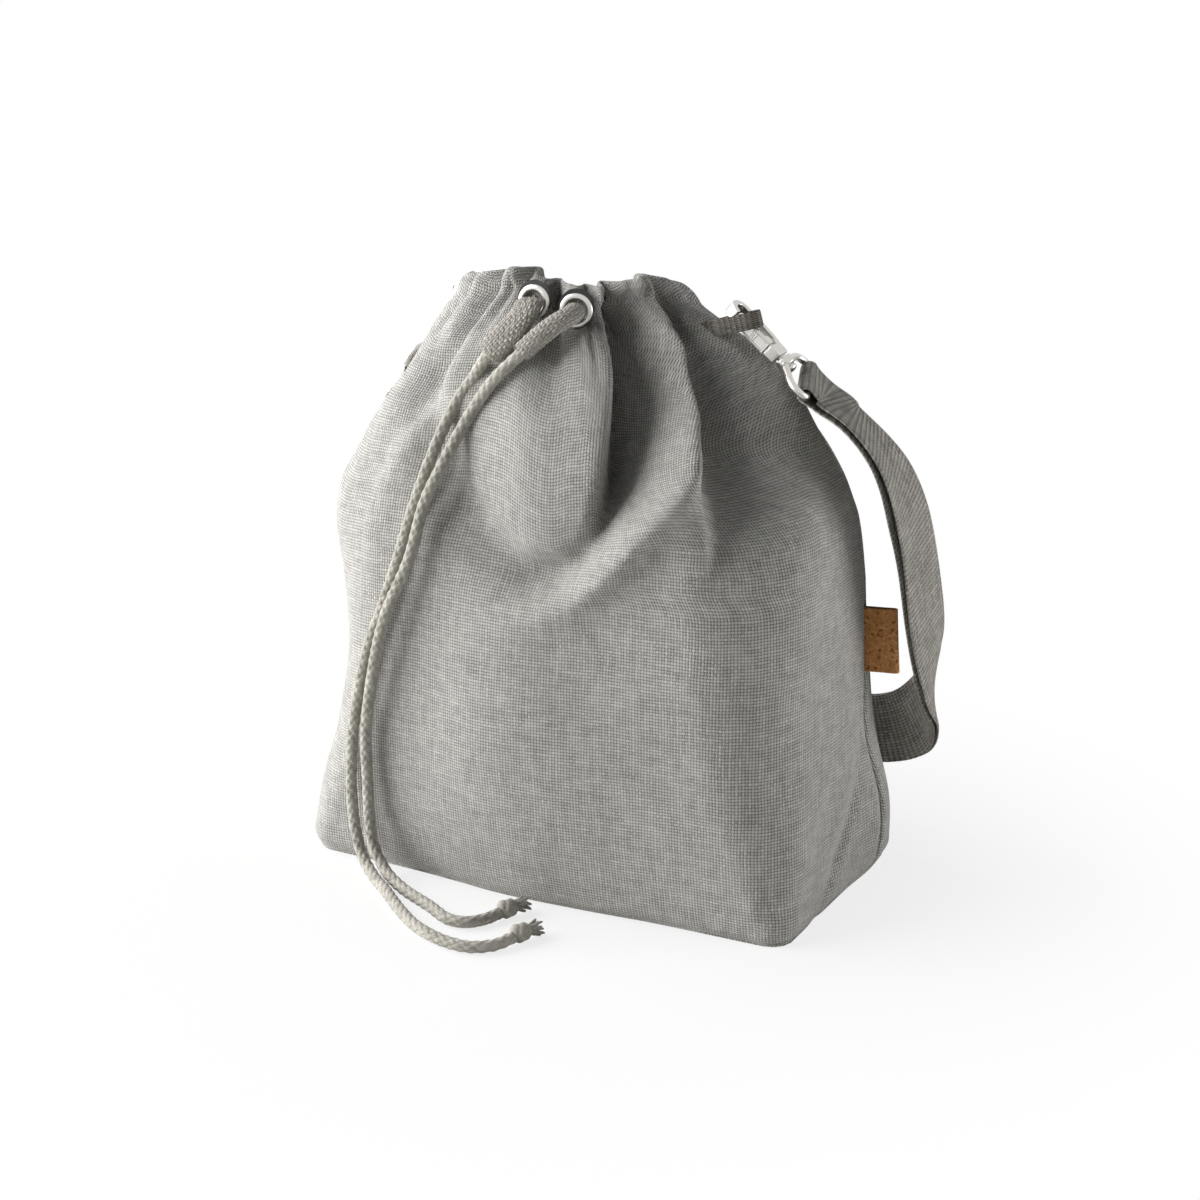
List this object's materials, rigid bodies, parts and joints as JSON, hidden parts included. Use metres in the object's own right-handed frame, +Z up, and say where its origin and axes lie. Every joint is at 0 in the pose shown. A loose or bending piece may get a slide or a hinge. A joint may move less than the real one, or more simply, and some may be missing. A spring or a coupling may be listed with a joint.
{
  "type": "insulated lunch bag",
  "caption": "Insulated drawstring lunch bag, standing closed, with its drawcord hanging in front and a clip-on webbing strap with snap hooks and a slider behind it.",
  "frame": {"origin": "on the floor, under the middle of the bag's base", "axes": "+X to the bag's right as seen from the front, +Y from front to back, +Z up; the eyelets and cords face -Y"},
  "size_m": [0.2504, 0.2005, 0.2485],
  "materials": {
    "linen_fabric": "coarse plain weave of grey and white threads",
    "foam": "closed-cell foam sheet",
    "lining_fabric": "thin smooth lining",
    "backing_tape": "black backing tape",
    "nickel": "satin nickel plate",
    "cotton_cord": "twisted cotton cord and woven tape",
    "webbing": "ribbed cotton webbing",
    "cork": "thin cork sheet"
  },
  "bodies": {
    "bag": {"outer_front_panel": "linen_fabric", "outer_back_panel": "linen_fabric", "outer_base_panel": "linen_fabric", "foam_front": "foam", "foam_back": "foam", "foam_base": "foam", "liner_front": "lining_fabric", "liner_back": "lining_fabric", "liner_base": "lining_fabric", "collar_lining_front": "lining_fabric", "collar_lining_back": "lining_fabric", "channel_inner_hem": "lining_fabric", "eyelet_backing_left": "backing_tape", "eyelet_backing_right": "backing_tape", "eyelet_left": "nickel", "eyelet_right": "nickel", "draw_tape_run": "cotton_cord", "drawcord_tail_left": "cotton_cord", "drawcord_tail_right": "cotton_cord", "cord_sleeve_left": "cotton_cord", "cord_sleeve_right": "cotton_cord", "cord_knot_left": "cotton_cord", "cord_knot_right": "cotton_cord", "cork_label": "cork", "tab_root_left": "webbing", "tab_root_right": "webbing"},
    "strap": {"tab_loop_left": "webbing", "tab_loop_right": "webbing", "swivel_ring_left": "nickel", "swivel_ring_right": "nickel", "strap_webbing": "webbing", "strap_adjust_run": "webbing"},
    "slider": {"strap_slider": "nickel", "slider_anchor_loop": "webbing"},
    "hook_left": {"hook_body_left": "nickel", "swivel_post_left": "nickel", "hook_gate_pin_left": "nickel"},
    "hook_right": {"hook_body_right": "nickel", "swivel_post_right": "nickel", "hook_gate_pin_right": "nickel"},
    "gate_left": {"hook_gate_left": "nickel"},
    "gate_right": {"hook_gate_right": "nickel"}
  },
  "joints": [
    {"name": "strap_swing", "type": "hinge", "parent": "bag", "child": "strap", "pos_m": [0.052, -0.0059, 0.227], "axis": [0.9903, -0.1381, -0.0164], "range_deg": [0, 155]},
    {"name": "slider_slide", "type": "slide", "parent": "strap", "child": "slider", "axis": [1, 0, 0], "range_m": [-0.018, 0.018], "deforming": ["strap_adjust_run"]},
    {"name": "hook_right_swivel", "type": "hinge", "parent": "strap", "child": "hook_right", "pos_m": [0.0568, -0.003, 0.2361], "axis": [0.745, 0, -0.667], "range_deg": [-7, 7]},
    {"name": "hook_left_swivel", "type": "hinge", "parent": "strap", "child": "hook_left", "pos_m": [-0.06475, 0.00838, 0.2361], "axis": [-0.4998, 0.1339, -0.8557], "range_deg": [-7, 7]},
    {"name": "gate_right_press", "type": "hinge", "parent": "hook_right", "child": "gate_right", "pos_m": [0.07215, -0.0051, 0.22236], "axis": [-0.667, 0, -0.745], "range_deg": [0, 12], "stiffness_Nm_per_rad": 0.02, "springref_deg": -17.19},
    {"name": "gate_left_press", "type": "hinge", "parent": "hook_left", "child": "gate_left", "pos_m": [-0.07451, 0.01316, 0.21847], "axis": [0.8266, -0.2215, -0.5175], "range_deg": [0, 12], "stiffness_Nm_per_rad": 0.02, "springref_deg": -17.19}
  ]
}
